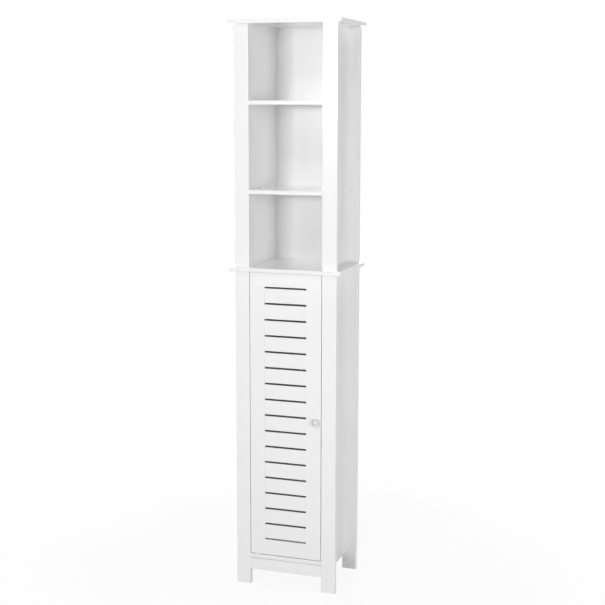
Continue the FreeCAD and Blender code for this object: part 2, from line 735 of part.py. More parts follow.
def make_pivots():
    """A pivot pin at each end of the hinge stile, and the bush that each turns in."""
    pin = turned("pivot_pin", [
        ("0", "-dims.pivot_anchor"),
        ("dims.pivot_radius", "-dims.pivot_anchor"),
        ("dims.pivot_radius", "dims.pivot_reach"),
        ("0", "dims.pivot_reach"),
    ])
    group("pivot_pins", pin, [
        ("places.pivot_x", "places.pivot_y", "places.door_top", "up"),
        ("places.pivot_x", "places.pivot_y", "places.door_z", "down"),
    ])
    bore = "dims.pivot_radius + dims.running_clearance"
    flange_radius = "places.bush_radius + dims.flange_width"
    flange_face = "dims.door_end_gap - dims.flange_gap"
    bore_end = "dims.bush_floor - dims.bush_depth"
    bush = turned("pivot_bush", [
        ("0", "-dims.bush_depth"),
        ("places.bush_radius", "-dims.bush_depth"),
        ("places.bush_radius", "0"),
        (flange_radius, "0"),
        (flange_radius, flange_face),
        (bore, flange_face),
        (bore, bore_end),
        ("0", bore_end),
    ])
    group("pivot_bushes", bush, [
        ("places.pivot_x", "places.pivot_y", "places.middle_z", "down"),
        ("places.pivot_x", "places.pivot_y", "places.bay_z", "up"),
    ])


def make_catch():
    """A magnetic catch under the middle board, and the strike plate on the door's back."""
    width = "dims.catch_width"
    ear = "dims.ear_length"
    under_ear = "dims.catch_height - dims.ear_thickness"
    corner = (f"places.catch_x - {width} / 2 - {ear}", "places.catch_y", "places.catch_z")
    housing = new_body("catch_housing", corner)
    front_view = sketch_on(housing, "XZ_Plane")
    outline(front_view, [
        (ear, "0"), (f"{ear} + {width}", "0"), (f"{ear} + {width}", under_ear),
        (f"2 * {ear} + {width}", under_ear), (f"2 * {ear} + {width}", "dims.catch_height"),
        ("0", "dims.catch_height"), ("0", under_ear), (ear, under_ear),
    ])
    pad(housing, front_view, "dims.catch_depth", against_normal=True)
    half_width = "(dims.magnet_width / 2 + dims.fit_clearance)"
    half_height = "(dims.magnet_height / 2 + dims.fit_clearance)"
    middle = f"{ear} + {width} / 2"
    mouth = sketch_on(housing, "XZ_Plane")
    outline(mouth, [
        (f"{middle} - {half_width}", f"dims.magnet_rise - {half_height}"),
        (f"{middle} + {half_width}", f"dims.magnet_rise - {half_height}"),
        (f"{middle} + {half_width}", f"dims.magnet_rise + {half_height}"),
        (f"{middle} - {half_width}", f"dims.magnet_rise + {half_height}"),
    ])
    cut(housing, mouth, False, "dims.magnet_depth - dims.magnet_proud")
    ear_spots = [
        (f"{middle} + {side} * places.ear_reach", "dims.catch_depth / 2") for side in SIDES.values()
    ]
    countersink(housing, "bottom", ear_spots, "small_screw", under_ear)
    pieces["catch_housing"] = housing

    magnet_size = ("dims.magnet_width", "dims.magnet_depth", "dims.magnet_height")
    magnet_left = "places.catch_x - dims.magnet_width / 2"
    magnet_foot = "places.magnet_z - dims.magnet_height / 2"
    board("catch_magnet", magnet_size, (magnet_left, "places.magnet_y", magnet_foot))

    strike_size = ("dims.strike_width", "dims.strike_thickness", "dims.strike_height")
    strike = board("strike_plate", strike_size,
                   ("places.catch_x - dims.strike_width / 2", "places.door_back_y",
                    "places.magnet_z - dims.strike_height / 2"))
    countersink(strike, "back", [("dims.strike_width / 2", "dims.strike_height / 2")], "small_screw",
                "-dims.strike_thickness")


def make_wall_bracket():
    """A bent steel angle on the top board's rear edge, which keeps the cabinet from tipping."""
    thickness = "dims.bracket_thickness"
    foot = "dims.bracket_foot"
    height = "dims.bracket_height"
    bracket = new_body("wall_bracket", ("-dims.bracket_width / 2", "places.bracket_y", "places.bracket_z"))
    side_view = sketch_on(bracket, "YZ_Plane")
    outline(side_view, [
        ("0", "0"), (foot, "0"), (foot, height), (f"{foot} - {thickness}", height),
        (f"{foot} - {thickness}", thickness), ("0", thickness),
    ])
    pad(bracket, side_view, "dims.bracket_width")
    ease(bracket, lambda edge: lies_at(edge, "Y", f"{foot} - {thickness}") and lies_at(edge, "Z", thickness),
         "dims.bracket_bend")
    screw_spots = [
        (f"dims.bracket_width / 2 + {side} * places.bracket_screw_reach",
         "places.bracket_screw_y - places.bracket_y")
        for side in SIDES.values()
    ]
    countersink(bracket, "top", screw_spots, "small_screw", thickness)
    wall_spot = [("dims.bracket_width / 2", f"({height} + {thickness}) / 2")]
    drill(bracket, "front", wall_spot, "dims.wall_hole_radius")
    pieces["wall_bracket"] = bracket


def countersunk_screw(label, screw):
    """A countersunk screw, its head's face at its own origin and its tip below."""
    radius = f"dims.{screw}_radius"
    head = f"dims.{screw}_head_radius"
    length = f"dims.{screw}_length"
    body = turned(label, [
        ("0", f"-{length}"),
        (f"{radius} / 4", f"-{length}"),
        (radius, f"2 * {radius} - {length}"),
        (radius, f"{radius} - {head}"),
        (head, "0"),
        ("0", "0"),
    ])
    cross_recess(body, head)
    return body


def make_screws():
    """The screws of the shelves, the back panels, the fittings and the strike plate, and the caps."""
    shelf_screw = countersunk_screw("shelf_screw", "shelf_screw")
    cap = turned("screw_cap", [
        ("0", "0"),
        ("dims.cap_radius", "0"),
        (f"dims.cap_radius * {CAP_TOP_SHARE}", "dims.cap_thickness"),
        ("0", "dims.cap_thickness"),
    ])
    shelf_places = []
    for level in ("places.bottom_z", "places.low_shelf_z", "places.high_shelf_z"):
        for row in SHELF_SCREWS:
            for side, sign in SIDES.items():
                shelf_places.append((f"{sign} * places.panel_outside", f"places.front_y + {row}",
                                     f"{level} + dims.board_thickness / 2", side))
    group("shelf_screws", shelf_screw, shelf_places)
    group("screw_caps", cap, shelf_places)

    small_screw = countersunk_screw("small_screw", "small_screw")
    back_places = []
    for level, screws in (("places.low_bay_z", UPPER_BACK_SCREWS), ("places.bottom_z", LOWER_BACK_SCREWS)):
        for spot in screws:
            for sign in SIDES.values():
                back_places.append((f"{sign} * places.post_middle", "places.front_y + places.full_depth",
                                    f"{level} + {spot}", "back"))
    group("back_screws", small_screw, back_places)

    fitting_places = []
    for sign in SIDES.values():
        fitting_places.append((f"{sign} * places.bracket_screw_reach", "places.bracket_screw_y",
                               "places.bracket_z + dims.bracket_thickness", "up"))
        fitting_places.append((f"places.catch_x + {sign} * places.ear_reach", "places.catch_screw_y",
                               "places.middle_z - dims.ear_thickness", "down"))
    group("fitting_screws", small_screw, fitting_places)
    group("strike_screw", small_screw, [
        ("places.catch_x", "places.door_back_y + dims.strike_thickness", "places.magnet_z", "back"),
    ])


def plain_dowel(label, length):
    """A dowel standing on its own origin."""
    return turned(label, [("0", "0"), ("dims.dowel_radius", "0"), ("dims.dowel_radius", length), ("0", length)])


def make_dowels():
    """Dowels from the posts into the boards, and between posts, panels and apron."""
    dowel = plain_dowel("dowel", "dims.dowel_length")
    long_dowel = plain_dowel("long_dowel", "places.long_dowel_length")
    top_places = []
    middle_places = []
    for sign in SIDES.values():
        for row in POST_ROWS:
            across = f"{sign} * places.post_middle"
            top_places.append((across, row, "places.top_z - places.dowel_end_depth", "up"))
            middle_places.append((across, row, "places.middle_z - places.dowel_end_depth", "up"))
    group("long_dowels", long_dowel, middle_places)

    panel_places = []
    for level, dowels in (("places.low_bay_z", UPPER_DOWELS), ("dims.side_gap", LOWER_DOWELS)):
        for spot in dowels:
            for sign in SIDES.values():
                across = f"{sign} * places.panel_middle"
                height = f"{level} + {spot}"
                panel_places.append((across, "places.front_y + dims.post_thickness - dims.dowel_post_depth",
                                     height, "back"))
                panel_places.append((across, "places.rear_post_y + dims.dowel_post_depth", height, "front"))
    for level in share_of("dims.apron_height", APRON_DOWEL_SHARES, "dims.leg_gap"):
        row = "places.front_post_middle_y"
        panel_places.append(("-places.inner_half - dims.dowel_length / 2", row, level, "right"))
        panel_places.append(("places.inner_half + dims.dowel_length / 2", row, level, "left"))
    group("dowels", dowel, top_places + panel_places)


def check_model():
    """Stop if any object failed, any cut missed its solid or any piece is not a sound solid."""
    for item in doc.Objects:
        if "Invalid" in item.State or "Error" in item.State:
            raise RuntimeError(f"{item.Label} failed: {item.State}")
        if item.TypeId == "PartDesign::Pocket":
            if not item.Shape.Volume < item.BaseFeature.Shape.Volume:
                raise RuntimeError(f"{item.Label} cuts nothing")
    for label, piece in pieces.items():
        if piece.Shape.isNull() or not piece.Shape.isValid() or not piece.Shape.Solids:
            raise RuntimeError(f"{label} is not a sound solid")


def write_pieces():
    os.makedirs("parts", exist_ok=True)
    for label, piece in pieces.items():
        piece.Shape.exportStep(f"parts/{label}.step")


make_overhanging_boards()
make_shelves()
make_posts()
make_apron()
make_side_panels()
make_back_panels()
make_inner_shelves()
make_stiles()
make_rails_and_slats()
make_knob()
make_pivots()
make_catch()
make_wall_bracket()
make_screws()
make_dowels()
doc.recompute()
check_model()
write_pieces()
print(f"{len(pieces)} pieces written")
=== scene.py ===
import json
import math

import bpy
from mathutils import Euler, Matrix, Vector


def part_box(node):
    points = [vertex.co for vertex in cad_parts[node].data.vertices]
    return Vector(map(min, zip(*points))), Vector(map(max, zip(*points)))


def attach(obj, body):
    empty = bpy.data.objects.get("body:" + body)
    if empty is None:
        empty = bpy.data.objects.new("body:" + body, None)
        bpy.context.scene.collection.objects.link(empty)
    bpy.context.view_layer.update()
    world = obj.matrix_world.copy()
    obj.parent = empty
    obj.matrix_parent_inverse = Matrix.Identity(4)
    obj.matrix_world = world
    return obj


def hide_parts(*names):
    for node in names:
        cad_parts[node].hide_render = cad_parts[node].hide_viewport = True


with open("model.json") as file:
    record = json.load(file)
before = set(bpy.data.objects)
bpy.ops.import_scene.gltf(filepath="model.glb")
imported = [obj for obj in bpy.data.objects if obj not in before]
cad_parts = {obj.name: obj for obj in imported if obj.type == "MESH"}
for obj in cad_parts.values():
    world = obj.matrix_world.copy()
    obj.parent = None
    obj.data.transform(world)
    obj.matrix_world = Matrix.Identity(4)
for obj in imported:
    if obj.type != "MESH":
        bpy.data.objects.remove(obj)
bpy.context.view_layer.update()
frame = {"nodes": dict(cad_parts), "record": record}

# A white bathroom column cabinet. Metres; +Z is up and the front faces -Y.
MM = 0.001

# Where the photograph was taken from: pixels of the picture, millimetres on the sensor, metres and degrees
IMAGE_SIZE = 605
FOCAL_PIXELS = 1249.9
SENSOR_WIDTH = 36.0
CAMERA_PLACE = (1.2276, -3.5325, 1.4541)
CAMERA_TURN = 18.919
CAMERA_DOWN = 8.932
CAMERA_ROLL = 0.083

# The studio's soft boxes: place, aim, width, height and watts
SOFT_BOXES = {
    "key_box": ((-0.68, -4.1, 1.6), (0.0, 0.0, 1.0), 1.0, 0.5, 60.0),
    "high_box": ((0.1, -2.7, 3.6), (0.0, 0.0, 1.0), 1.4, 0.9, 26.0),
    "right_box": ((2.6, -2.7, 1.35), (0.0, 0.0, 0.8), 1.6, 2.2, 58.0),
    "side_box": ((3.8, 0.7, 0.9), (0.0, 0.0, 0.7), 1.6, 1.6, 27.0),
    "left_box": ((-3.8, 0.4, 1.3), (0.0, 0.0, 0.85), 1.6, 1.6, 38.0),
    "rear_box": ((-1.0, 3.9, 1.6), (0.0, 0.0, 0.85), 1.6, 1.6, 72.0),
    "top_box": ((0.0, 0.4, 4.2), (0.0, 0.0, 0.0), 1.8, 1.8, 30.0),
}

# The strength of the white surroundings: where they light the cabinet, and where they are seen or mirrored
FILL = 0.03
SURROUND = 1.0

# The floor's side, and the share of plain white in what it shows, within the near and past the far radius
FLOOR_SIDE = 60.0
NEAR_WHITE = 0.88
FAR_WHITE = 1.0
NEAR_RADIUS = 0.3
FAR_RADIUS = 1.4

# Profiles of the round pieces, from foot to tip: shares of the piece's projection and of its widest radius
KNOB_PROFILE = (
    (0.03, 0.70), (0.07, 0.67), (0.13, 0.58), (0.21, 0.53), (0.26, 0.55), (0.30, 0.66), (0.345, 0.82),
    (0.40, 0.93), (0.46, 0.985), (0.53, 1.0), (0.60, 0.995), (0.68, 0.955), (0.76, 0.885), (0.84, 0.775),
    (0.91, 0.62), (0.96, 0.44), (0.99, 0.22),
)
KNOB_SIDES = 64
CAP_PROFILE = (
    (0.25, 1.0), (0.45, 0.985), (0.62, 0.92), (0.76, 0.80), (0.87, 0.63), (0.95, 0.42), (0.99, 0.20),
)
CAP_SIDES = 40

# Round pieces are shaded smooth where neighbouring faces turn by less than this
SMOOTH_ANGLE = math.radians(40)

# The cap screws stand at these shares of the carcass's depth, from its front
CAP_DEPTH_SHARES = (0.25, 0.75)

# How much of a face's normal lies along a direction that the face looks in, or that it only leans to
FACING_SHARE = 0.95
LEANING_SHARE = 0.5

# Blender's wave texture turns through this angle, in radians, for each unit of length at a scale of one
WAVE_STEP = 20

# Sockets of Blender's Mix node when it mixes colours: the second colour's share, both colours, the result
MIX_SHARE = 0
MIX_FIRST = 6
MIX_SECOND = 7
MIX_RESULT = 2


def linear(hex_colour):
    """An sRGB hex colour as linear red, green and blue, with a full alpha."""
    channels = [int(hex_colour[start:start + 2], 16) / 255 for start in (0, 2, 4)]
    straight = [c / 12.92 if c <= 0.04045 else ((c + 0.055) / 1.055) ** 2.4 for c in channels]
    return (*straight, 1.0)


def per_metre(millimetres):
    """The texture scale at which one feature of a pattern measures so many millimetres."""
    return 1 / (millimetres * MM)


def waves_per_metre(millimetres):
    """The wave texture's scale at which its bands stand so many millimetres apart."""
    return math.tau / WAVE_STEP * per_metre(millimetres)


def add_node(tree, kind, settings=None, values=None, links=None):
    """A node with its settings, its socket values and the outputs that feed its sockets."""
    node = tree.nodes.new(kind)
    for name, setting in (settings or {}).items():
        setattr(node, name, setting)
    for socket, value in (values or {}).items():
        node.inputs[socket].default_value = value
    for socket, output in (links or {}).items():
        tree.links.new(output, node.inputs[socket])
    return node


def middle_of(node):
    """The middle of a CAD node's box."""
    low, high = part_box(node)
    return (low + high) / 2


def new_material(name):
    """An empty node material, its tree, and the node that gives places and normals on the object."""
    material = bpy.data.materials.new(name)
    material.use_nodes = True
    tree = material.node_tree
    tree.nodes.clear()
    return material, tree, add_node(tree, "ShaderNodeTexCoord")


# Satin lacquer, sprayed on fibreboard: a neutral white that mirrors its surroundings softly, most of all
# where it is seen along the surface, and is a little cloudy where the film is thicker, over a faint orange
# peel. The peel is about 1.5 mm across on the real thing and is drawn at 4 mm, because a finer one does
# not show. On the slats, the faces that look at each other across the narrow slots are painted a dull grey
# and made rough: painted shade, which darkens the slots.
def sprayed_lacquer(name, painted_slot_shade=False):
    material, tree, place = new_material(name)
    cloud = add_node(tree, "ShaderNodeTexNoise", values={"Scale": per_metre(140), "Detail": 2.0},
                     links={"Vector": place.outputs["Object"]})
    white = add_node(tree, "ShaderNodeMix", {"data_type": "RGBA"},
                     {MIX_FIRST: linear("F9F9F9"), MIX_SECOND: linear("F5F5F5")},
                     {MIX_SHARE: cloud.outputs[0]})
    film = add_node(tree, "ShaderNodeTexNoise", values={"Scale": per_metre(35), "Detail": 3.0},
                    links={"Vector": place.outputs["Object"]})
    gloss = add_node(tree, "ShaderNodeMapRange", values={"To Min": 0.11, "To Max": 0.16},
                     links={"Value": film.outputs[0]})
    colour = white.outputs[MIX_RESULT]
    roughness = gloss.outputs[0]
    if painted_slot_shade:
        facing = add_node(tree, "ShaderNodeSeparateXYZ", links={"Vector": place.outputs["Normal"]})
        flat = add_node(tree, "ShaderNodeMath", {"operation": "ABSOLUTE"}, links={0: facing.outputs["Z"]})
        edge = add_node(tree, "ShaderNodeMapRange",
                        values={"From Min": LEANING_SHARE, "From Max": FACING_SHARE},
                        links={"Value": flat.outputs[0]})
        # Painted shade: the slats' faces across the slots are multiplied by a dull grey, so that the slots
        # look dark
        slot_shade_colour = add_node(tree, "ShaderNodeMix", {"data_type": "RGBA", "blend_type": "MULTIPLY"},
                          {MIX_SECOND: linear("8C8C8C")},
                          {MIX_SHARE: edge.outputs[0], MIX_FIRST: colour})
        dull = add_node(tree, "ShaderNodeMapRange", values={"To Max": 0.6},
                        links={"Value": edge.outputs[0], "To Min": roughness})
        colour = slot_shade_colour.outputs[MIX_RESULT]
        roughness = dull.outputs[0]
    peel = add_node(tree, "ShaderNodeTexNoise", values={"Scale": per_metre(4), "Detail": 1.0},
                    links={"Vector": place.outputs["Object"]})
    bump = add_node(tree, "ShaderNodeBump", values={"Strength": 1.0, "Distance": 0.012 * MM},
                    links={"Height": peel.outputs[0]})
    shader = add_node(tree, "ShaderNodeBsdfPrincipled", values={"IOR": 1.5}, links={
        "Base Color": colour, "Roughness": roughness, "Normal": bump.outputs[0]})
    add_node(tree, "ShaderNodeOutputMaterial", links={"Surface": shader.outputs[0]})
    return material


# Thin hardboard faced with white melamine paper: smooth, faintly clouded by the fibres beneath, and marked
# on the rear by the wire mesh that it was pressed on. The mesh is about 1.2 mm fine and is drawn at 6 mm to
# show.
def faced_hardboard():
    material, tree, place = new_material("white_melamine_paper_on_pressed_hardboard")
    fibre = add_node(tree, "ShaderNodeTexNoise", values={"Scale": per_metre(9), "Detail": 4.0},
                     links={"Vector": place.outputs["Object"]})
    white = add_node(tree, "ShaderNodeMix", {"data_type": "RGBA"},
                     {MIX_FIRST: linear("F9F9F9"), MIX_SECOND: linear("F6F6F6")},
                     {MIX_SHARE: fibre.outputs[0]})
    gloss = add_node(tree, "ShaderNodeMapRange", values={"To Min": 0.2, "To Max": 0.3},
                     links={"Value": fibre.outputs[0]})
    wires = [
        add_node(tree, "ShaderNodeTexWave", {"bands_direction": direction}, {"Scale": waves_per_metre(6)},
                 {"Vector": place.outputs["Object"]})
        for direction in ("X", "Z")
    ]
    mesh = add_node(tree, "ShaderNodeMath", {"operation": "MULTIPLY"},
                    links={0: wires[0].outputs["Fac"], 1: wires[1].outputs["Fac"]})
    facing = add_node(tree, "ShaderNodeSeparateXYZ", links={"Vector": place.outputs["Normal"]})
    rear = add_node(tree, "ShaderNodeMath", {"operation": "GREATER_THAN"}, {1: LEANING_SHARE},
                    {0: facing.outputs["Y"]})
    relief = add_node(tree, "ShaderNodeMath", {"operation": "MULTIPLY"},
                      links={0: mesh.outputs[0], 1: rear.outputs[0]})
    bump = add_node(tree, "ShaderNodeBump", values={"Strength": 1.0, "Distance": 0.1 * MM},
                    links={"Height": relief.outputs[0]})
    shader = add_node(tree, "ShaderNodeBsdfPrincipled", values={"IOR": 1.5}, links={
        "Base Color": white.outputs[MIX_RESULT], "Roughness": gloss.outputs[0], "Normal": bump.outputs[0]})
    add_node(tree, "ShaderNodeOutputMaterial", links={"Surface": shader.outputs[0]})
    return material


# White enamel on turned wood: duller than the lacquer, with the rings of the turning just felt beneath it.
# The rings are about 0.6 mm apart on the real thing and are drawn at 1.2 mm to show.
def enamelled_wood(axis):
    material, tree, place = new_material("white_enamel_on_turned_wood")
    centred = add_node(tree, "ShaderNodeMapping", values={"Location": -axis},
                       links={"Vector": place.outputs["Object"]})
    rings = add_node(tree, "ShaderNodeTexWave", {"wave_type": "RINGS", "rings_direction": "Y"},
                     {"Scale": waves_per_metre(1.2), "Distortion": 0.6}, {"Vector": centred.outputs[0]})
    cloud = add_node(tree, "ShaderNodeTexNoise", values={"Scale": per_metre(6), "Detail": 2.0},
                     links={"Vector": place.outputs["Object"]})
    white = add_node(tree, "ShaderNodeMix", {"data_type": "RGBA"},
                     {MIX_FIRST: linear("E2E2E2"), MIX_SECOND: linear("DBDBDB")},
                     {MIX_SHARE: cloud.outputs[0]})
    gloss = add_node(tree, "ShaderNodeMapRange", values={"To Min": 0.28, "To Max": 0.36},
                     links={"Value": cloud.outputs[0]})
    bump = add_node(tree, "ShaderNodeBump", values={"Strength": 1.0, "Distance": 0.01 * MM},
                    links={"Height": rings.outputs["Fac"]})
    shader = add_node(tree, "ShaderNodeBsdfPrincipled", values={"IOR": 1.5}, links={
        "Base Color": white.outputs[MIX_RESULT], "Roughness": gloss.outputs[0], "Normal": bump.outputs[0]})
    add_node(tree, "ShaderNodeOutputMaterial", links={"Surface": shader.outputs[0]})
    return material


# Beech, turned and left bare: warm pinkish tan with short darker flecks, dull.
def bare_beech():
    material, tree, place = new_material("bare_turned_beech")
    fleck = add_node(tree, "ShaderNodeTexVoronoi", values={"Scale": per_metre(1.5)},
                     links={"Vector": place.outputs["Object"]})
    grain = add_node(tree, "ShaderNodeTexNoise", values={"Scale": per_metre(5), "Detail": 5.0},
                     links={"Vector": place.outputs["Object"]})
    streak = add_node(tree, "ShaderNodeMath", {"operation": "MULTIPLY"},
                      links={0: fleck.outputs["Distance"], 1: grain.outputs[0]})
    tan = add_node(tree, "ShaderNodeMix", {"data_type": "RGBA"},
                   {MIX_FIRST: linear("DDBB8E"), MIX_SECOND: linear("B98B5C")},
                   {MIX_SHARE: streak.outputs[0]})
    dull = add_node(tree, "ShaderNodeMapRange", values={"To Min": 0.55, "To Max": 0.75},
                    links={"Value": grain.outputs[0]})
    bump = add_node(tree, "ShaderNodeBump", values={"Strength": 1.0, "Distance": 0.05 * MM},
                    links={"Height": streak.outputs[0]})
    shader = add_node(tree, "ShaderNodeBsdfPrincipled", values={"IOR": 1.5}, links={
        "Base Color": tan.outputs[MIX_RESULT], "Roughness": dull.outputs[0], "Normal": bump.outputs[0]})
    add_node(tree, "ShaderNodeOutputMaterial", links={"Surface": shader.outputs[0]})
    return material


# Steel, zinc plated and clear passivated: a bright grey metal, mottled by its crystals, slightly blue in
# places.
def zinc_plate():
    material, tree, place = new_material("zinc_plated_steel")
    mottle = add_node(tree, "ShaderNodeTexNoise", values={"Scale": per_metre(2.5), "Detail": 3.0},
                      links={"Vector": place.outputs["Object"]})
    grey = add_node(tree, "ShaderNodeMix", {"data_type": "RGBA"},
                    {MIX_FIRST: linear("C3C5C6"), MIX_SECOND: linear("A3A8AF")},
                    {MIX_SHARE: mottle.outputs[0]})
    dull = add_node(tree, "ShaderNodeMapRange", values={"To Min": 0.3, "To Max": 0.5},
                    links={"Value": mottle.outputs[0]})
    bump = add_node(tree, "ShaderNodeBump", values={"Strength": 1.0, "Distance": 0.01 * MM},
                    links={"Height": mottle.outputs[0]})
    shader = add_node(tree, "ShaderNodeBsdfPrincipled", values={"Metallic": 1.0}, links={
        "Base Color": grey.outputs[MIX_RESULT], "Roughness": dull.outputs[0], "Normal": bump.outputs[0]})
    add_node(tree, "ShaderNodeOutputMaterial", links={"Surface": shader.outputs[0]})
    return material


# ABS, moulded in an etched tool: an even white, duller than the lacquer, with a fine pearl. The pearl is
# about 0.5 mm on the real thing and is drawn at 1 mm to show.
def moulded_abs():
    material, tree, place = new_material("white_moulded_abs")
    pearl = add_node(tree, "ShaderNodeTexVoronoi", values={"Scale": per_metre(1)},
                     links={"Vector": place.outputs["Object"]})
    flow = add_node(tree, "ShaderNodeTexNoise", values={"Scale": per_metre(12), "Detail": 2.0},
                    links={"Vector": place.outputs["Object"]})
    white = add_node(tree, "ShaderNodeMix", {"data_type": "RGBA"},
                     {MIX_FIRST: linear("F2F2F1"), MIX_SECOND: linear("EDEDEC")},
                     {MIX_SHARE: flow.outputs[0]})
    gloss = add_node(tree, "ShaderNodeMapRange", values={"To Min": 0.34, "To Max": 0.46},
                     links={"Value": flow.outputs[0]})
    bump = add_node(tree, "ShaderNodeBump", values={"Strength": 1.0, "Distance": 0.02 * MM},
                    links={"Height": pearl.outputs["Distance"]})
    shader = add_node(tree, "ShaderNodeBsdfPrincipled", values={"IOR": 1.53}, links={
        "Base Color": white.outputs[MIX_RESULT], "Roughness": gloss.outputs[0], "Normal": bump.outputs[0]})
    add_node(tree, "ShaderNodeOutputMaterial", links={"Surface": shader.outputs[0]})
    return material


# Nylon, moulded in its natural colour: a milky ivory with faint flow lines, half dull.
def natural_nylon():
    material, tree, place = new_material("natural_moulded_nylon")
    flow = add_node(tree, "ShaderNodeTexNoise",
                    values={"Scale": per_metre(3), "Detail": 2.0, "Distortion": 1.0},
                    links={"Vector": place.outputs["Object"]})
    ivory = add_node(tree, "ShaderNodeMix", {"data_type": "RGBA"},
                     {MIX_FIRST: linear("F0EEE6"), MIX_SECOND: linear("E7E4DA")},
                     {MIX_SHARE: flow.outputs[0]})
    gloss = add_node(tree, "ShaderNodeMapRange", values={"To Min": 0.38, "To Max": 0.52},
                     links={"Value": flow.outputs[0]})
    bump = add_node(tree, "ShaderNodeBump", values={"Strength": 1.0, "Distance": 0.01 * MM},
                    links={"Height": flow.outputs[0]})
    shader = add_node(tree, "ShaderNodeBsdfPrincipled", values={"IOR": 1.53}, links={
        "Base Color": ivory.outputs[MIX_RESULT], "Roughness": gloss.outputs[0], "Normal": bump.outputs[0]})
    add_node(tree, "ShaderNodeOutputMaterial", links={"Surface": shader.outputs[0]})
    return material


# Ferrite, pressed and sintered: charcoal, dull, with a grain of paler specks. The real grain is too fine to
# see and is drawn at 0.8 mm to show.
def sintered_ferrite():
    material, tree, place = new_material("sintered_ferrite")
    speck = add_node(tree, "ShaderNodeTexVoronoi", values={"Scale": per_metre(0.8)},
                     links={"Vector": place.outputs["Object"]})
    charcoal = add_node(tree, "ShaderNodeMix", {"data_type": "RGBA"},
                        {MIX_FIRST: linear("2B2B2F"), MIX_SECOND: linear("4A4A4F")},
                        {MIX_SHARE: speck.outputs["Distance"]})
    dull = add_node(tree, "ShaderNodeMapRange", values={"To Min": 0.5, "To Max": 0.7},
                    links={"Value": speck.outputs["Distance"]})
    bump = add_node(tree, "ShaderNodeBump", values={"Strength": 1.0, "Distance": 0.03 * MM},
                    links={"Height": speck.outputs["Distance"]})
    shader = add_node(tree, "ShaderNodeBsdfPrincipled", values={"IOR": 1.8}, links={
        "Base Color": charcoal.outputs[MIX_RESULT], "Roughness": dull.outputs[0],
        "Normal": bump.outputs[0]})
    add_node(tree, "ShaderNodeOutputMaterial", links={"Surface": shader.outputs[0]})
    return material


def finish_nodes(finishes, slat_finish):
    """Give every CAD node the finish of its slot in the record, and the slats their own."""
    for subpart in frame["record"]["subparts"]:
        name = subpart["node"]
        slots = frame["nodes"][name].data.materials
        slots.clear()
        slots.append(slat_finish if name.startswith("door_slat") else finishes[subpart["material_slot"]])


def turn_piece(name, foot, way, projection, widest, profile, sides):
    """A round piece along X, Y or Z, drawn out of a thin disc at its foot, ring by ring by its profile."""
    thickness = profile[0][0] * projection
    bpy.ops.object.select_all(action="DESELECT")
    bpy.ops.mesh.primitive_cylinder_add(
        vertices=sides, radius=profile[0][1] * widest, depth=thickness,
        location=foot + way * thickness / 2, rotation=way.to_track_quat("Z", "Y").to_euler())
    bpy.ops.object.transform_apply(location=True, rotation=True, scale=True)
    piece = bpy.context.object
    piece.name = name
    bpy.ops.object.mode_set(mode="EDIT")
    bpy.ops.mesh.select_mode(type="FACE")
    bpy.ops.mesh.select_all(action="DESELECT")
    bpy.ops.object.mode_set(mode="OBJECT")
    for face in piece.data.polygons:
        face.select = face.normal.dot(way) > FACING_SHARE
    bpy.ops.object.mode_set(mode="EDIT")
    for (rise, width), (next_rise, next_width) in zip(profile, profile[1:]):
        step = way * (next_rise - rise) * projection
        bpy.ops.mesh.extrude_region_move(TRANSFORM_OT_translate={"value": step})
        across = [1 if part else next_width / width for part in way]
        bpy.ops.transform.resize(value=across, center_override=foot + way * next_rise * projection)
    bpy.ops.mesh.extrude_region_move(
        TRANSFORM_OT_translate={"value": way * (1 - profile[-1][0]) * projection})
    bpy.ops.mesh.merge(type="CENTER")
    bpy.ops.object.mode_set(mode="OBJECT")
    bpy.ops.object.shade_smooth_by_angle(angle=SMOOTH_ANGLE)
    return piece


def turn_knob(finish):
    """The round knob on the door."""
    low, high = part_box("door_knob")
    middle = middle_of("door_knob")
    foot = Vector((middle.x, high.y, middle.z))
    knob = turn_piece("turned_knob", foot, Vector((0, -1, 0)), high.y - low.y, (high.x - low.x) / 2,
                      KNOB_PROFILE, KNOB_SIDES)
    knob.data.materials.append(finish)
    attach(knob, "door")
    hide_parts("door_knob")


def dome_caps(finish):
    """Domed caps over the screws of the shelves and the bottom board: one pattern, copied to both sides."""
    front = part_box("leg_front_left")[0].y
    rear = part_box("leg_rear_left")[1].y
    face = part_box("upper_side_right")[1].x
    caps_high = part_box("screw_caps")[1]
    projection = caps_high.x - face
    # The highest caps are centred on the high shelf
    radius = caps_high.z - middle_of("high_open_shelf").z
    pattern = turn_piece("domed_cap", Vector((face, 0, 0)), Vector((1, 0, 0)), projection, radius,
                         CAP_PROFILE, CAP_SIDES)
    pattern.data.materials.append(finish)
    number = 0
    for board in ("bottom_board", "low_open_shelf", "high_open_shelf"):
        for share in CAP_DEPTH_SHARES:
            place = Matrix.Translation((0, front + share * (rear - front), middle_of(board).z))
            # Half a turn about the cabinet's middle puts a cap on the left side
            for turn in (0, math.pi):
                number += 1
                cap = pattern.copy()
                cap.name = f"domed_cap_{number:02d}"
                cap.data = pattern.data.copy()
                cap.data.transform(place @ Matrix.Rotation(turn, 4, "Z"))
                bpy.context.scene.collection.objects.link(cap)
                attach(cap, "cabinet")
                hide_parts("screw_caps")
    bpy.data.meshes.remove(pattern.data)


def set_camera():
    """The photograph's own view."""
    data = bpy.data.cameras.new("camera")
    data.sensor_fit = "HORIZONTAL"
    data.sensor_width = SENSOR_WIDTH
    data.lens = FOCAL_PIXELS / IMAGE_SIZE * SENSOR_WIDTH
    camera = bpy.data.objects.new("camera", data)
    bpy.context.scene.collection.objects.link(camera)
    aim = Euler((math.radians(90 - CAMERA_DOWN), 0, math.radians(CAMERA_TURN))).to_matrix()
    aim = aim @ Matrix.Rotation(math.radians(CAMERA_ROLL), 3, "Z")
    camera.matrix_world = Matrix.Translation(CAMERA_PLACE) @ aim.to_4x4()
    bpy.context.scene.camera = camera


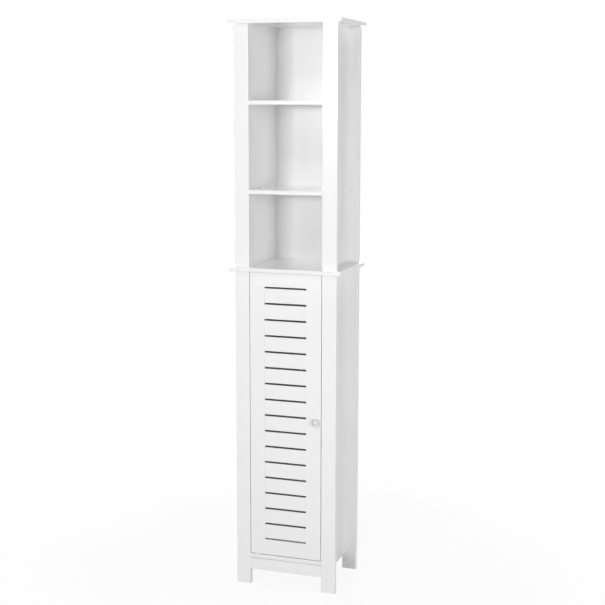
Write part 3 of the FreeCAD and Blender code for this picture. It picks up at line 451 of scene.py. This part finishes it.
def shows_white(tree):
    """One for rays from the camera, a mirror or glass, which see the studio as plain white, else zero."""
    path = add_node(tree, "ShaderNodeLightPath")
    seen = path.outputs["Is Camera Ray"]
    for ray in ("Is Glossy Ray", "Is Transmission Ray"):
        seen = add_node(tree, "ShaderNodeMath", {"operation": "MAXIMUM"},
                        links={0: seen, 1: path.outputs[ray]}).outputs[0]
    return seen


# Matt white studio floor: plain, and whiter away from the cabinet, so that only the soft shadow under it
# shows. It throws light back at the cabinet as a pale grey floor does.
def lay_floor():
    bpy.ops.object.select_all(action="DESELECT")
    bpy.ops.mesh.primitive_plane_add(size=FLOOR_SIDE)
    floor = bpy.context.object
    floor.name = "studio_floor"
    material, tree, place = new_material("matt_white_studio_floor")
    away = add_node(tree, "ShaderNodeVectorMath", {"operation": "LENGTH"},
                    links={0: place.outputs["Object"]})
    own_white = add_node(
        tree, "ShaderNodeMapRange", {"interpolation_type": "SMOOTHSTEP"},
        {"From Min": NEAR_RADIUS, "From Max": FAR_RADIUS, "To Min": NEAR_WHITE, "To Max": FAR_WHITE},
        {"Value": away.outputs["Value"]})
    shown = shows_white(tree)
    share = add_node(tree, "ShaderNodeMath", {"operation": "MULTIPLY"},
                     links={0: own_white.outputs[0], 1: shown})
    pale = add_node(tree, "ShaderNodeMix", {"data_type": "RGBA"},
                    {MIX_FIRST: linear("C8C8C8"), MIX_SECOND: linear("FFFFFF")},
                    {MIX_SHARE: shown})
    matt = add_node(tree, "ShaderNodeBsdfDiffuse", links={"Color": pale.outputs[MIX_RESULT]})
    plain = add_node(tree, "ShaderNodeEmission", values={"Color": linear("FFFFFF"), "Strength": SURROUND})
    seen = add_node(tree, "ShaderNodeMixShader",
                    links={0: share.outputs[0], 1: matt.outputs[0], 2: plain.outputs[0]})
    add_node(tree, "ShaderNodeOutputMaterial", links={"Surface": seen.outputs[0]})
    floor.data.materials.append(material)


def light_studio():
    """White surroundings with an even fill, and the soft boxes."""
    world = bpy.data.worlds.new("white_studio")
    bpy.context.scene.world = world
    world.use_nodes = True
    tree = world.node_tree
    tree.nodes.clear()
    strength = add_node(tree, "ShaderNodeMapRange", values={"To Min": FILL, "To Max": SURROUND},
                        links={"Value": shows_white(tree)})
    air = add_node(tree, "ShaderNodeBackground", values={"Color": linear("FFFFFF")},
                   links={"Strength": strength.outputs[0]})
    add_node(tree, "ShaderNodeOutputWorld", links={"Surface": air.outputs[0]})
    for name, (place, aim, width, height, watts) in SOFT_BOXES.items():
        data = bpy.data.lights.new(name, "AREA")
        data.shape = "RECTANGLE"
        data.size = width
        data.size_y = height
        data.energy = watts
        lamp = bpy.data.objects.new(name, data)
        lamp.location = place
        lamp.rotation_euler = (Vector(aim) - Vector(place)).to_track_quat("-Z", "Y").to_euler()
        lamp.visible_camera = False
        bpy.context.scene.collection.objects.link(lamp)


enamel = enamelled_wood(middle_of("door_knob"))
abs_plastic = moulded_abs()
slat_lacquer = sprayed_lacquer("satin_lacquer_sprayed_on_slats_with_painted_slot_shade", painted_slot_shade=True)
finish_nodes({
    "white_lacquer": sprayed_lacquer("satin_lacquer_sprayed_on_fibreboard"),
    "white_hardboard": faced_hardboard(),
    "knob_enamel": enamel,
    "beech": bare_beech(),
    "zinc_steel": zinc_plate(),
    "white_plastic": abs_plastic,
    "natural_nylon": natural_nylon(),
    "ferrite": sintered_ferrite(),
}, slat_lacquer)
turn_knob(enamel)
dome_caps(abs_plastic)
set_camera()
lay_floor()
light_studio()
bpy.context.scene.view_settings.view_transform = "Standard"
